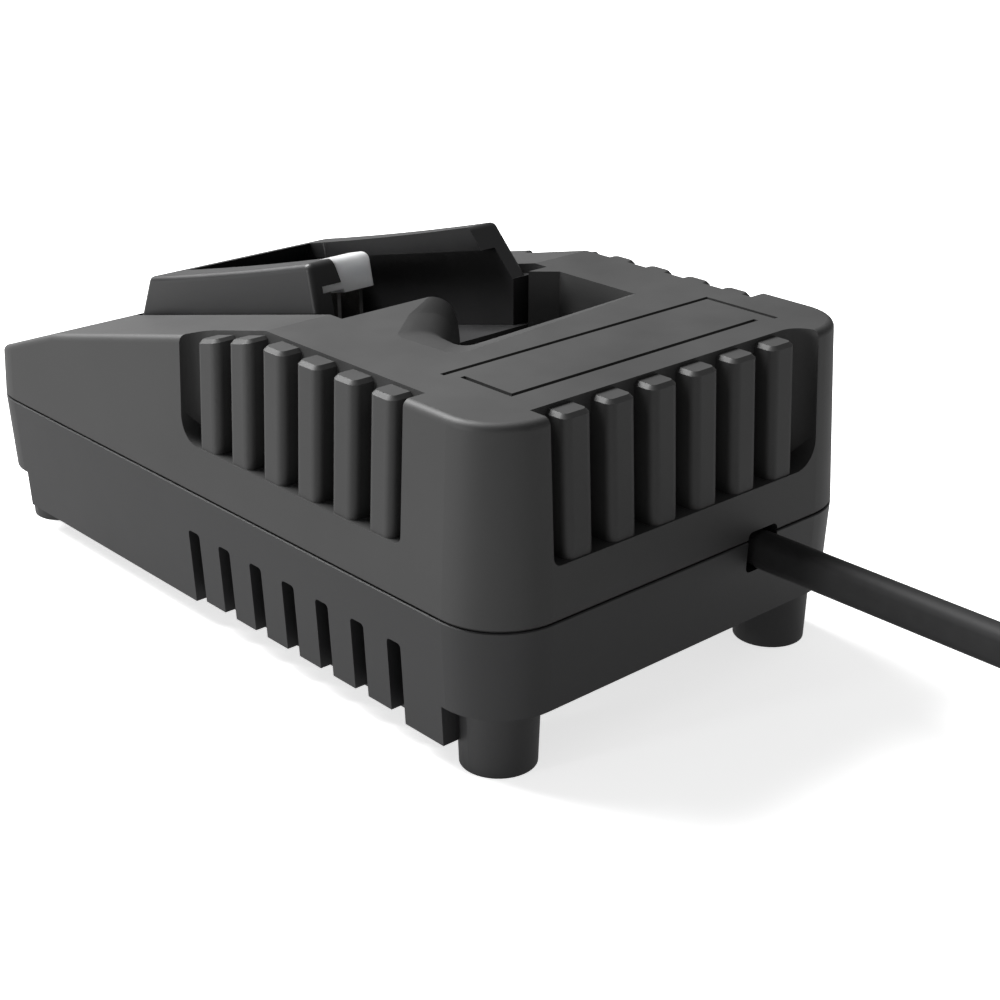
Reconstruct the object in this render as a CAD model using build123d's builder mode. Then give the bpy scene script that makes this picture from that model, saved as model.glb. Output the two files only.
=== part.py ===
from build123d import *
import os
from math import cos, radians, tan

os.makedirs("parts", exist_ok=True)

# Charger for slide-on tool batteries. Millimetres, +Z up, standing on z = 0.
# The mains cord leaves the rear end, at +Y; the battery bay slopes down to the front end, at -Y.

# Case outline, measured at the parting line between the two housings
case_length = 145.0
case_width = 80.0
corner_radius = 11.25
draft_angle = 2.86
parting_height = 25.0
deck_height = 55.4
wall = 2.4
rim_radius = 1.2
lower_bevel = 0.15
upper_bevel = 0.5

# The deck is flat at the rear, slopes down from slide_start and falls more steeply near the front end
slide_start = 14.0
slide_angle = 13.1
front_kink_y = -46.2
front_angle = 19.5

# Lower housing: the middle hangs lower than the two ends
skirt_height = 4.1
end_height = 10.8
end_step = 12.2
tongue_height = 1.5
tongue_width = 1.0
fit_gap = 0.1
groove_margin = 0.3

# Row of open vent slots along the bottom of each long side
vent_pitch = 8.75
vent_count = 7
vent_width = 3.2
vent_front = -4.1
vent_top = 17.6
vent_corner = 0.7
vent_reach = 4.0
tooth_rise = 1.1

# Feet, moulded with the lower housing, with a screw up through each
foot_diameter = 11.8
foot_flare = 0.4
foot_end_inset = 9.5
foot_side_inset = 9.4
pillar_diameter = 9.0
boss_diameter = 7.5
screw_bore = 6.5
screw_clearance = 0.2
screw_seat = 14.0
screw_length = 16.0
screw_diameter = 2.9
screw_head_diameter = 5.6
screw_head_height = 2.2
screw_recess = 3.2
screw_recess_width = 0.8
screw_recess_depth = 1.2
pilot_spare = 1.0

# Grip pockets with upright ribs, one on each long side and one at the rear
pocket_depth = 5.5
pocket_floor = 33.5
side_pocket_front = -4.2
side_pocket_rear = 52.1
rear_pocket_depth = 5.6
rear_pocket_inset = 11.6
pocket_corner = 4.5
pocket_scoop = 4.0
pocket_small_corner = 1.5
rib_pitch = 8.75
rib_width = 5.4
rib_count = 6
rib_inset = 0.25
rib_top_inset = 0.6
rib_edge_radius = 1.4
rib_chamfer = 0.6
rib_kink_margin = 0.2
side_rib_front = 0.25
rear_rib_margin = 2.95
rear_rib_far_margin = 4.95
louvre_width = 2.4
louvre_bottom = 36.0
louvre_top = 50.0
louvre_margin = 1.0

# Panel on the deck, framed by two L-shaped grooves that leave two corners open
panel_left = -28.7
panel_right = 26.1
panel_front = 47.7
panel_rear = 60.75
panel_front_end = 27.7
panel_left_end = 62.3
panel_right_end = 50.35
panel_rear_end = -25.7
panel_groove = 0.9
panel_depth = 0.5

# Latch well behind the battery bay
well_far_side = 21.7
well_corner_x = -17.7
well_corner_y = 20.6
well_rear = 38.6
well_floor = 44.0
well_corner_radius = 2.5
well_steps = [(0.25, 1.2), (0.8, 2.6), (1.9, 4.2), (4.5, 5.8)]
well_floor_inset = 7.0
well_rear_shrink = 0.8
well_front_overlap = 0.1
well_corner_growth_x = 1.5
well_corner_growth_y = 0.45

# Near side of the well at its mouth: x and y, each with how fast it shrinks as the well gets deeper
well_near_rear = (20.5, 1.6, 42.5, 1.4)
well_near_middle = (21.2, 2.0, 29.4, 0.3)
well_near_sweep = (13.0, 1.8, 22.4, 0.3)
well_near_front = (4.2, 1.0)

# Battery cradle: a separate moulding with two overhanging rails and an open rear end
opening_rear = 17.0
opening_gap = 0.15
tray_drop = 1.7
rail_half_width = 20.3
rail_groove = 1.8
rail_front_gap = 1.7
rail_wall = 3.5
rail_rise = 8.1
rail_front_rise = 6.8
rail_middle_y = -18.0
rail_middle_rise = 7.15
rail_flange_depth = 4.2
rail_flange_width = 6.5
rail_front_base = -47.6
rail_front_top = -43.0
rail_rear_top = 6.1
near_rail_base = 8.2
far_rail_base = 14.0
rail_corner = 1.3
rail_edge_radius = 1.1
rail_sink = 0.5
rail_seat = 1.0
rail_foot_gap = 0.3
mouth_rise = 2.0
front_wall = 3.0
channel_depth = 10.0
channel_floor = 2.0
bay_side_strip = 1.5
cradle_flange = 7.0
cradle_flange_thickness = 2.0
cradle_flange_gap = 0.3
cradle_flange_rear = 3.0
stake_diameter = 2.5
stake_head = 4.5
stake_head_height = 1.0
stake_root = 0.3

# Contacts at the closed front end of the bay
blade_count = 5
blade_pitch = 5.0
blade_thickness = 0.8
blade_height = 6.0
blade_reach = 9.0
blade_tail = 3.0
blade_tail_width = 3.0
blade_tail_overlap = 1.0
blade_rise = 2.6
blade_inset = 3.0
blade_slot_gap = 0.3
blade_slot_margin = 1.0
terminal_depth = 11.0
terminal_width = 30.0
terminal_rise = 0.8
terminal_gap = 0.4
terminal_screw_inset = 2.2
terminal_screw_head = 4.0
terminal_screw_head_height = 1.4
terminal_screw_gap = 0.15

# Indicator
pipe_width = 8.0
pipe_height = 6.0
pipe_taper = 1.9
pipe_length = 4.0
pipe_corner = 1.4
pipe_inner_edge = 7.4
pipe_tab = 1.15
pipe_tab_reach = 1.5
pipe_tab_length = 8.0
pipe_tab_overlap = 2.0
pipe_stem = 1.8
pipe_stem_inset = 0.4
pipe_stem_root = 0.5
led_diameter = 3.0
led_height = 4.8
led_collar = 0.4
led_collar_height = 1.0

# Circuit board and what stands on it
board_thickness = 1.6
board_rise = 5.5
board_side_gap = 5.0
board_end_gap = 2.05
board_corner = 2.0
board_hole_gap = 0.3
post_root = 0.5
post_diameter = 6.0
post_side_inset = 4.0
post_end_inset = 6.0
board_screw_diameter = 2.1
board_screw_length = 6.0
board_screw_head = 4.6
board_screw_head_height = 1.8
board_recess = 2.8
board_recess_width = 0.6
board_recess_depth = 0.8

# Transformer
transformer_x = -9.0
transformer_y = 4.0
core_width = 30.0
core_height = 22.0
core_leg = 7.0
core_yoke = 4.0
core_rise = 1.5
bobbin_gap = 0.3
winding_length = 25.0
winding_corner = 3.0
winding_foot_inset = 1.0

# Electrolytic capacitors: the bulk one from the rear end of the board, the others behind the output wires
filter_row = 24.85
bulk_x = 9.0
bulk_diameter = 16.0
bulk_height = 26.0
can_rim = 0.8
output_gap = 6.35
output_x = -9.5
output_spacing = 13.0
output_diameter = 10.0
output_height = 15.0

# Heat sink along one side of the board, with two packages on it
sink_inset = 3.0
sink_y = 6.0
sink_length = 36.0
sink_height = 17.0
sink_plate = 2.0
fin_count = 7
fin_thickness = 1.0
fin_reach = 2.0
package_width = 10.0
package_height = 9.5
package_thickness = 4.5
package_rise = 3.5
tab_thickness = 1.3
tab_height = 3.5
transistor_offset = 7.0
diode_offset = 9.0
lead_width = 0.6
lead_pitch = 2.54

# Mains side of the board
bridge_row = 13.35
bridge_width = 14.0
bridge_thickness = 3.8
bridge_height = 10.0
bridge_rise = 3.0
bridge_lead_pitch = 4.0
bridge_lead_count = 4
choke_x = -15.0
choke_width = 18.0
choke_depth = 6.0
choke_height = 18.0
choke_limb = 4.0
choke_winding_gap = 0.2
choke_winding_wall = 1.5
line_row = 12.6
line_x = 19.0
line_width = 16.0
line_thickness = 4.5
line_height = 12.0
line_corner = 0.6
fuse_row = 8.35
fuse_x = -10.0
fuse_diameter = 5.2
fuse_length = 20.0
fuse_rise = 4.0
fuse_clip_spacing = 16.0
fuse_clip_width = 3.0
fuse_clip_depth = 2.0
fuse_clip_grip = 1.0
varistor_row = 6.35
varistor_x = 9.0
varistor_diameter = 10.0
varistor_thickness = 3.6
varistor_rise = 6.5
varistor_lead_spacing = 5.0
varistor_lead_grip = 1.5

# Low-voltage side of the board
chip_row = 36.85
chip_x = 12.5
chip_length = 9.0
chip_width = 6.0
chip_height = 3.3
chip_rise = 0.3
chip_lead_count = 4
optocoupler_x = 22.0
optocoupler_length = 4.6
optocoupler_lead_count = 2

# Wires inside the case
wire_diameter = 1.5
wire_bend = 1.6
wire_spread = 1.2
wire_run = 5.0
led_lead_diameter = 0.7
led_lead_spread = 0.9
sheath_stub = 2.5

# Flat two-core mains cord: level out of the case, down to the bench and into a tied coil
cord_thickness = 3.8
cord_width = 6.1
cord_side_flat = 0.05
cord_bend_share = 0.45
cord_from_foot = 14.1
cord_seat = 0.4
notch_bottom = 19.6
notch_top = 26.5
notch_margin_left = 3.0
notch_margin_right = 3.8
notch_corner = 1.0
notch_reach = 2.0
cord_level_run = 59.5
cord_drop_run = 29.0
cord_bench_run = 27.0
cord_end_gap = 0.5
coil_diameter = 53.4
coil_columns = 3
coil_layers = 3
coil_gap = 0.2
coil_edge_radius = 1.6
tie_angle = 60.0
tie_corner = 1.5
tie_width = 10.0
tie_thickness = 0.8
plug_length = 36.0
plug_width = 35.0
plug_thickness = 13.7
plug_neck = 14.0
plug_shoulder = 19.8
plug_corner = 3.0
plug_edge = 2.0
plug_relief = 18.0
relief_root_width = 10.5
relief_root_height = 10.5
relief_tip_width = 7.2
relief_tip_height = 8.8
relief_corner = 2.6
pin_diameter = 4.0
pin_length = 19.0
pin_spacing = 18.2
pin_tip_radius = 1.2
tail_length = 14.0

# Clamp on the cord just inside the case
clamp_length = 18.0
clamp_width = 6.0
clamp_thickness = 2.5
clamp_screw_spacing = 12.0
clamp_from_end = 9.0
clamp_corner = 1.2
clamp_hole_gap = 0.2
clamp_screw_reach = 4.0

# Housing details
foot_overlap = 0.5
cutter_margin = 5.0
cutter_length = 40.0
upward_normal = 0.9
place_tolerance = 0.01
rib_root = 1.0
stake_front_inset = 7.5
stake_middle_y = -20.0

# Sizes that follow from the ones above
draft = tan(radians(draft_angle))
slope = tan(radians(slide_angle))
half_length = case_length / 2
half_width = case_width / 2
front_slope = tan(radians(front_angle))
skin_drop = wall / cos(radians(slide_angle))
front_skin_drop = wall / cos(radians(front_angle))
floor_top = skirt_height + wall
end_floor_top = end_height + wall
foot_x = half_width - foot_side_inset
foot_y = half_length - foot_end_inset
feet = [(x, y) for x in (-foot_x, foot_x) for y in (-foot_y, foot_y)]
pocket_back = half_width - pocket_depth
rear_pocket_back = half_length - rear_pocket_depth
board_bottom = floor_top + board_rise
board_top = board_bottom + board_thickness
board_half_width = half_width - wall - board_side_gap
board_half_length = half_length - end_step - wall - board_end_gap
post_x = board_half_width - post_side_inset
post_y = board_half_length - post_end_inset
posts = [(x, y) for x in (-post_x, post_x) for y in (-post_y, post_y)]
rear_pocket_half = half_width - rear_pocket_inset
rear_rib_side = rear_pocket_half - rear_rib_margin
rear_rib_span = 2 * rear_pocket_half - rear_rib_margin - rear_rib_far_margin
rear_rib_pitch = (rear_rib_span - rib_width) / (rib_count - 1)
cord_x = -foot_x + cord_from_foot
notch_left = cord_x - notch_margin_left
notch_right = cord_x + notch_margin_right
opening_front = rail_front_base - rail_front_gap
opening_half = rail_half_width + rail_groove
channel_half = rail_half_width - rail_wall


def side_at(height):
    """Half width of the outer surface at a height."""
    return half_width - draft * abs(height - parting_height)


def end_at(height):
    """Half length of the outer surface at a height."""
    return half_length - draft * abs(height - parting_height)


def slide_at(y, rise=0.0):
    """Height of the slide, carried on past the deck's edge, at a place along the case."""
    return deck_height + (y - slide_start) * slope + rise


def front_at(y, rise=0.0):
    """Height of the steeper front part at a place along the case."""
    return slide_at(front_kink_y, rise) + (y - front_kink_y) * front_slope


def drafted_prism(inset, height, facing, mode=Mode.ADD):
    """The case outline, drawn at the parting line and drafted inwards over a height."""
    plane = Plane((0, 0, parting_height), x_dir=(1, 0, 0), z_dir=(0, 0, facing))
    with BuildSketch(plane) as outline:
        RectangleRounded(case_width - 2 * inset, case_length - 2 * inset, corner_radius - inset)
    extrude(outline.sketch, amount=height, taper=draft_angle, mode=mode)


def ring_band(outer_inset, inner_inset, bottom, top, mode=Mode.ADD):
    """An upright band that follows the case outline, between two insets and two heights."""
    with BuildSketch(Plane.XY.offset(bottom)) as band:
        RectangleRounded(case_width - 2 * outer_inset, case_length - 2 * outer_inset,
                         corner_radius - outer_inset)
        RectangleRounded(case_width - 2 * inner_inset, case_length - 2 * inner_inset,
                         corner_radius - inner_inset, mode=Mode.SUBTRACT)
    extrude(band.sketch, amount=top - bottom, mode=mode)


def block(x_range, y_range, z_range, mode=Mode.ADD):
    """A plain box between two limits along each axis."""
    size = [limits[1] - limits[0] for limits in (x_range, y_range, z_range)]
    middle = [(limits[0] + limits[1]) / 2 for limits in (x_range, y_range, z_range)]
    with Locations(tuple(middle)):
        Box(*size, mode=mode)


def side_profile(points, x_from, x_to, mode=Mode.ADD):
    """A profile drawn in the YZ plane and carried from one x to another."""
    with BuildSketch(Plane.YZ.offset(x_from)) as profile:
        Polygon(*points, align=None)
    extrude(profile.sketch, amount=x_to - x_from, mode=mode)


def slide_slab(y_front, y_rear, rise_bottom, rise_top, x_from, x_to, mode=Mode.ADD):
    """A slab that runs along the slide, upright at both ends."""
    corners = [(y_front, slide_at(y_front, rise_bottom)), (y_rear, slide_at(y_rear, rise_bottom)),
               (y_rear, slide_at(y_rear, rise_top)), (y_front, slide_at(y_front, rise_top))]
    side_profile(corners, x_from, x_to, mode)


def upright_cylinder(x, y, diameter, bottom, top, mode=Mode.ADD):
    with Locations((x, y, bottom)):
        Cylinder(diameter / 2, top - bottom, align=(Align.CENTER, Align.CENTER, Align.MIN), mode=mode)


def cross_recess(x, y, z, reach, width, depth):
    """A cross cut into a screw head, as deep below the height as it stands above it."""
    with Locations((x, y, z)):
        Box(reach, width, 2 * depth, mode=Mode.SUBTRACT)
        Box(width, reach, 2 * depth, mode=Mode.SUBTRACT)


def cord_notch(mode):
    """The hole for the cord in the rear wall, across the parting line."""
    notch_middle = (notch_left + notch_right) / 2
    notch_plane = Plane((notch_middle, half_length + notch_reach, (notch_bottom + notch_top) / 2),
                        x_dir=(-1, 0, 0), z_dir=(0, 1, 0))
    with BuildSketch(notch_plane) as hole:
        RectangleRounded(notch_right - notch_left, notch_top - notch_bottom, notch_corner)
    extrude(hole.sketch, amount=-(wall + 2 * notch_reach), mode=mode)


# ---------------------------------------------------------------- lower housing
with BuildPart() as lower_cavity:
    drafted_prism(wall, parting_height - floor_top, -1)
    for facing in (-1, 1):
        end_inside = half_length - end_step - wall
        block((-half_width, half_width), sorted((facing * end_inside, facing * half_length)),
              (0, end_floor_top), Mode.SUBTRACT)

with BuildPart() as lower_housing:
    drafted_prism(0, parting_height - skirt_height, -1)
    chamfer(lower_housing.faces().sort_by(Axis.Z)[-1].edges(), lower_bevel)
    for facing in (-1, 1):
        block((-half_width, half_width), sorted((facing * (half_length - end_step), facing * half_length)),
              (0, end_height), Mode.SUBTRACT)
    for x, y in feet:
        with Locations((x, y, 0)):
            Cone(foot_diameter / 2, foot_diameter / 2 + foot_flare, end_height + foot_overlap,
                 align=(Align.CENTER, Align.CENTER, Align.MIN))
    add(lower_cavity.part, mode=Mode.SUBTRACT)
    ring_band(wall - tongue_width, wall, parting_height, parting_height + tongue_height)
    for x, y in feet:
        upright_cylinder(x, y, pillar_diameter, end_height, parting_height)
        upright_cylinder(x, y, screw_bore, 0, screw_seat, Mode.SUBTRACT)
        upright_cylinder(x, y, screw_diameter + 2 * screw_clearance, 0, parting_height, Mode.SUBTRACT)
    for i in range(vent_count):
        vent_y = vent_front + i * vent_pitch + vent_width / 2
        for facing in (-1, 1):
            vent_x = sorted((facing * (half_width - vent_reach), facing * (half_width + cutter_margin)))
            with BuildSketch(Plane.YZ.offset(vent_x[0])) as vent_slot:
                with Locations((vent_y, 0)):
                    RectangleRounded(vent_width, 2 * vent_top, vent_corner)
            extrude(vent_slot.sketch, amount=vent_x[1] - vent_x[0], mode=Mode.SUBTRACT)
    vent_rear = vent_front + (vent_count - 1) * vent_pitch + vent_width
    for facing in (-1, 1):
        block(sorted((facing * (half_width - vent_reach), facing * (half_width + cutter_margin))),
              (vent_front, vent_rear), (0, skirt_height + tooth_rise), Mode.SUBTRACT)
    for x, y in posts:
        upright_cylinder(x, y, post_diameter, floor_top - post_root, board_bottom)
        upright_cylinder(x, y, board_screw_diameter + fit_gap, floor_top - post_root, board_bottom,
                         Mode.SUBTRACT)
    clamp_y = half_length - clamp_from_end
    block((cord_x - clamp_length / 2, cord_x + clamp_length / 2),
          (clamp_y - clamp_width / 2, clamp_y + clamp_width / 2), (end_floor_top - post_root, notch_bottom))
    for side in (-1, 1):
        upright_cylinder(cord_x + side * clamp_screw_spacing / 2, clamp_y, board_screw_diameter + fit_gap,
                         end_floor_top, notch_bottom, Mode.SUBTRACT)
    cord_notch(Mode.SUBTRACT)
lower_housing.part.label = "lower_housing"
export_step(lower_housing.part, "parts/lower_housing.step")

# ---------------------------------------------------------------- upper housing
inside_top = deck_height - wall
inner_kink = slide_start + (skin_drop - wall) / slope
inner_front_kink = front_kink_y + (front_skin_drop - skin_drop) / (front_slope - slope)


def well_outline(inset, grow):
    """The latch well's outline: one corner cut off at the far side, swept back at the near side."""
    far = -well_far_side - grow
    rear = well_rear - well_rear_shrink * inset + grow
    front = opening_rear - well_front_overlap
    corners = [(well_corner_x - well_corner_growth_x * grow, front),
               (far, well_corner_y - well_corner_growth_y * grow), (far, rear)]
    near_rear_x, near_rear_shrink_x, near_rear_y, near_rear_shrink_y = well_near_rear
    corners.append((near_rear_x - near_rear_shrink_x * inset + grow,
                    near_rear_y - near_rear_shrink_y * inset + grow))
    for x, shrink_x, y, shrink_y in (well_near_middle, well_near_sweep):
        corners.append((x - shrink_x * inset + grow, y - shrink_y * inset))
    corners.append((well_near_front[0] - well_near_front[1] * inset + grow, front))
    return corners


def well_solid(grow, mode=Mode.ADD):
    """The well lofted through its outlines: a soft lip that turns into a steep drop."""
    levels = [(deck_height, 0)]
    for depth, inset in well_steps:
        levels.append((deck_height - depth - grow, inset))
    levels.append((well_floor - grow, well_floor_inset))
    outlines = []
    for height, inset in levels:
        with BuildSketch(Plane.XY.offset(height)) as outline:
            Polygon(*well_outline(inset, grow), align=None)
            fillet(outline.vertices().sort_by(Axis.X)[-3:], well_corner_radius)
        outlines.append(outline.sketch)
    loft(outlines, mode=mode)


with BuildPart() as well_shell:
    well_solid(wall)
    block((-opening_half - wall, opening_half + wall), (opening_rear, opening_rear + wall),
          (well_floor - wall, deck_height))

with BuildPart() as upper_cavity:
    drafted_prism(wall, inside_top - parting_height, 1)
    side_profile([(inner_kink, inside_top), (inner_front_kink, slide_at(inner_front_kink, -skin_drop)),
                  (-half_length, front_at(-half_length, -front_skin_drop)),
                  (-half_length, deck_height + cutter_margin), (inner_kink, deck_height + cutter_margin)],
                 -half_width, half_width, Mode.SUBTRACT)
    for facing in (-1, 1):
        block(sorted((facing * (pocket_back - wall), facing * half_width)),
              (side_pocket_front - wall, side_pocket_rear + wall),
              (pocket_floor - wall, deck_height), Mode.SUBTRACT)
    block((-rear_pocket_half - wall, rear_pocket_half + wall), (rear_pocket_back - wall, half_length),
          (pocket_floor - wall, deck_height), Mode.SUBTRACT)
    add(well_shell.part, mode=Mode.SUBTRACT)
    for x, y in feet:
        upright_cylinder(x, y, boss_diameter, parting_height, deck_height, Mode.SUBTRACT)

pocket_cut_height = deck_height - pocket_floor + cutter_margin
with BuildPart() as side_pocket:
    with BuildSketch(Plane.YZ.offset(pocket_back)) as pocket_face:
        with Locations(((side_pocket_front + side_pocket_rear) / 2, pocket_floor)):
            Rectangle(side_pocket_rear - side_pocket_front, pocket_cut_height,
                      align=(Align.CENTER, Align.MIN))
        low_corners = pocket_face.vertices().group_by(Axis.Y)[0].sort_by(Axis.X)
        fillet(low_corners[0], pocket_corner)
        fillet(pocket_face.vertices().group_by(Axis.Y)[0].sort_by(Axis.X)[-1], pocket_small_corner)
    extrude(amount=pocket_depth + cutter_margin)
    with BuildSketch(Plane.XY) as pocket_plan:
        with Locations((pocket_back, side_pocket_front)):
            Rectangle(pocket_depth + cutter_margin, side_pocket_rear - side_pocket_front,
                      align=(Align.MIN, Align.MIN))
        fillet(pocket_plan.vertices().sort_by(Axis.Y)[:2].sort_by(Axis.X)[0], pocket_scoop)
    extrude(amount=deck_height + cutter_margin, mode=Mode.INTERSECT)
    mirror(about=Plane.YZ)

with BuildPart() as rear_pocket:
    rear_face = Plane((0, rear_pocket_back, 0), x_dir=(-1, 0, 0), z_dir=(0, 1, 0))
    with BuildSketch(rear_face) as rear_outline:
        with Locations((0, pocket_floor)):
            Rectangle(2 * rear_pocket_half, pocket_cut_height, align=(Align.CENTER, Align.MIN))
        fillet(rear_outline.vertices().group_by(Axis.Y)[0].sort_by(Axis.X)[-1], pocket_corner)
        fillet(rear_outline.vertices().group_by(Axis.Y)[0].sort_by(Axis.X)[0], pocket_small_corner)
    extrude(amount=rear_pocket_depth + cutter_margin)
    with BuildSketch(Plane.XY) as rear_plan:
        with Locations((0, rear_pocket_back)):
            Rectangle(2 * rear_pocket_half, rear_pocket_depth + cutter_margin,
                      align=(Align.CENTER, Align.MIN))
        fillet(rear_plan.vertices().group_by(Axis.Y)[0].sort_by(Axis.X)[0], pocket_scoop)
    extrude(amount=deck_height + cutter_margin, mode=Mode.INTERSECT)

rib_top = deck_height - rib_top_inset
rib_height = rib_top - pocket_floor
rib_lean = Vector(-draft, 0, 1)
side_rib_outer = side_at(pocket_floor) - rib_inset
rear_rib_outer = end_at(pocket_floor) - rib_inset
with BuildPart() as side_ribs:
    with BuildSketch(Plane.XY.offset(pocket_floor)) as side_rib_plan:
        for i in range(rib_count):
            rib_y = side_rib_front + i * rib_pitch + rib_width / 2
            rib_depth = side_rib_outer - pocket_back + rib_root
            with Locations((side_rib_outer - rib_depth / 2, rib_y)):
                RectangleRounded(rib_depth, rib_width, rib_edge_radius)
    extrude(side_rib_plan.sketch, amount=rib_height * rib_lean.length, dir=rib_lean)
    rib_kink = side_rib_front + rib_pitch + rib_width + rib_kink_margin
    rib_front_drop = (side_pocket_front - rib_kink) * slope
    side_profile([(rib_kink, rib_top), (side_pocket_front, rib_top + rib_front_drop),
                  (side_pocket_front, deck_height), (rib_kink, deck_height)],
                 0, half_width, Mode.SUBTRACT)
    side_rib_tops = side_ribs.faces().filter_by(lambda face: face.normal_at().Z > upward_normal)
    chamfer(side_rib_tops.edges(), rib_chamfer)
    mirror(about=Plane.YZ)

with BuildPart() as rear_ribs:
    with BuildSketch(Plane.XY.offset(pocket_floor)) as rear_rib_plan:
        for i in range(rib_count):
            rib_x = rear_rib_side - i * rear_rib_pitch - rib_width / 2
            rib_depth = rear_rib_outer - rear_pocket_back + rib_root
            with Locations((rib_x, rear_rib_outer - rib_depth / 2)):
                RectangleRounded(rib_width, rib_depth, rib_edge_radius)
    extrude(rear_rib_plan.sketch, amount=rib_height * rib_lean.length, dir=(0, -draft, 1))
    rear_rib_tops = rear_ribs.faces().filter_by(lambda face: face.normal_at().Z > upward_normal)
    chamfer(rear_rib_tops.edges(), rib_chamfer)

stake_x = opening_half + cradle_flange / 2
stakes = [(x, y) for x in (-stake_x, stake_x) for y in (opening_front + stake_front_inset, stake_middle_y, 0)]

past_front = -half_length - cutter_margin
past_deck = deck_height + cutter_margin
with BuildPart() as upper_housing:
    drafted_prism(0, deck_height - parting_height, 1)
    side_profile([(slide_start, deck_height), (front_kink_y, slide_at(front_kink_y)),
                  (past_front, front_at(past_front)), (past_front, past_deck), (slide_start, past_deck)],
                 -half_width, half_width, Mode.SUBTRACT)
    top_faces = upper_housing.faces().filter_by(lambda face: face.normal_at().Z > upward_normal)
    rim = [edge for edge in top_faces.edges()
           if min(abs(edge.center().Y - slide_start), abs(edge.center().Y - front_kink_y)) > place_tolerance]
    fillet(rim, rim_radius)
    chamfer(upper_housing.faces().sort_by(Axis.Z)[0].edges(), upper_bevel)
    add(upper_cavity.part, mode=Mode.SUBTRACT)
    add(side_pocket.part, mode=Mode.SUBTRACT)
    add(rear_pocket.part, mode=Mode.SUBTRACT)
    add(side_ribs.part)
    add(rear_ribs.part)
    for i in range(rib_count - 1):
        gap_y = side_rib_front + (rib_width + rib_pitch) / 2 + i * rib_pitch
        gap_x = rear_rib_side - (rib_width + rear_rib_pitch) / 2 - i * rear_rib_pitch
        for facing in (-1, 1):
            block(sorted((facing * (pocket_back - wall - louvre_margin),
                          facing * (pocket_back + louvre_margin))),
                  (gap_y - louvre_width / 2, gap_y + louvre_width / 2),
                  (louvre_bottom, louvre_top), Mode.SUBTRACT)
        block((gap_x - louvre_width / 2, gap_x + louvre_width / 2),
              (rear_pocket_back - wall - louvre_margin, rear_pocket_back + louvre_margin),
              (louvre_bottom, louvre_top), Mode.SUBTRACT)
    block((-opening_half, opening_half), (opening_front, opening_rear),
          (parting_height, past_deck), Mode.SUBTRACT)
    well_solid(0, Mode.SUBTRACT)
    groove_half = panel_groove / 2
    groove_height = (deck_height - panel_depth, deck_height)
    block((panel_left - groove_half, panel_front_end), (panel_front - groove_half, panel_front + groove_half),
          groove_height, Mode.SUBTRACT)
    block((panel_left - groove_half, panel_left + groove_half), (panel_front, panel_left_end),
          groove_height, Mode.SUBTRACT)
    block((panel_right - groove_half, panel_right + groove_half), (panel_right_end, panel_rear),
          groove_height, Mode.SUBTRACT)
    block((panel_rear_end, panel_right + groove_half), (panel_rear - groove_half, panel_rear + groove_half),
          groove_height, Mode.SUBTRACT)
    ring_band(wall - tongue_width - fit_gap, wall + groove_margin, parting_height,
              parting_height + tongue_height + fit_gap, Mode.SUBTRACT)
    for x, y in feet:
        upright_cylinder(x, y, screw_diameter + fit_gap, parting_height,
                         screw_seat + screw_length + pilot_spare, Mode.SUBTRACT)
    for x, y in stakes:
        stake_base = Plane((x, y, slide_at(y)), x_dir=(1, 0, 0), z_dir=(0, -slope, 1))
        with Locations(stake_base.offset(-wall + stake_root)):
            Cylinder(stake_diameter / 2, stake_root + cradle_flange_thickness + stake_head_height,
                     align=(Align.CENTER, Align.CENTER, Align.MAX))
        with Locations(stake_base.offset(-wall - cradle_flange_thickness)):
            Cylinder(stake_head / 2, stake_head_height, align=(Align.CENTER, Align.CENTER, Align.MAX))
    cord_notch(Mode.SUBTRACT)
upper_housing.part.label = "upper_housing"
export_step(upper_housing.part, "parts/upper_housing.step")

# ---------------------------------------------------------------- indicator
bay_bottom = -channel_depth
flange_bottom = rail_rise - rail_flange_depth
pipe_outer_edge = pipe_inner_edge + pipe_width
rail_lean = (near_rail_base - rail_rear_top) / (rail_rise + tray_drop)


def rail_end(rise):
    """Where the near rail's leaning rear end stands, at a rise above the slide."""
    return rail_rear_top + (rail_rise - rise) * rail_lean


def rail_outline(rear_base, x):
    """A rail seen from the side: leaning ends and a slightly hollow top, rounded at both top corners."""
    front_top = (rail_front_top, slide_at(rail_front_top, rail_front_rise))
    rear_top = (rail_rear_top, slide_at(rail_rear_top, rail_rise))
    with BuildSketch(Plane.YZ.offset(x)) as outline:
        with BuildLine():
            Polyline(front_top, (rail_front_base, slide_at(rail_front_base, -tray_drop - rail_sink)),
                     (rear_base, slide_at(rear_base, -tray_drop)), rear_top)
            ThreePointArc(rear_top, (rail_middle_y, slide_at(rail_middle_y, rail_middle_rise)), front_top)
        make_face()
        top_corners = [outline.vertices().sort_by_distance((*place, 0))[0] for place in (front_top, rear_top)]
        fillet(top_corners, rail_corner)
    return outline.sketch


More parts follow.
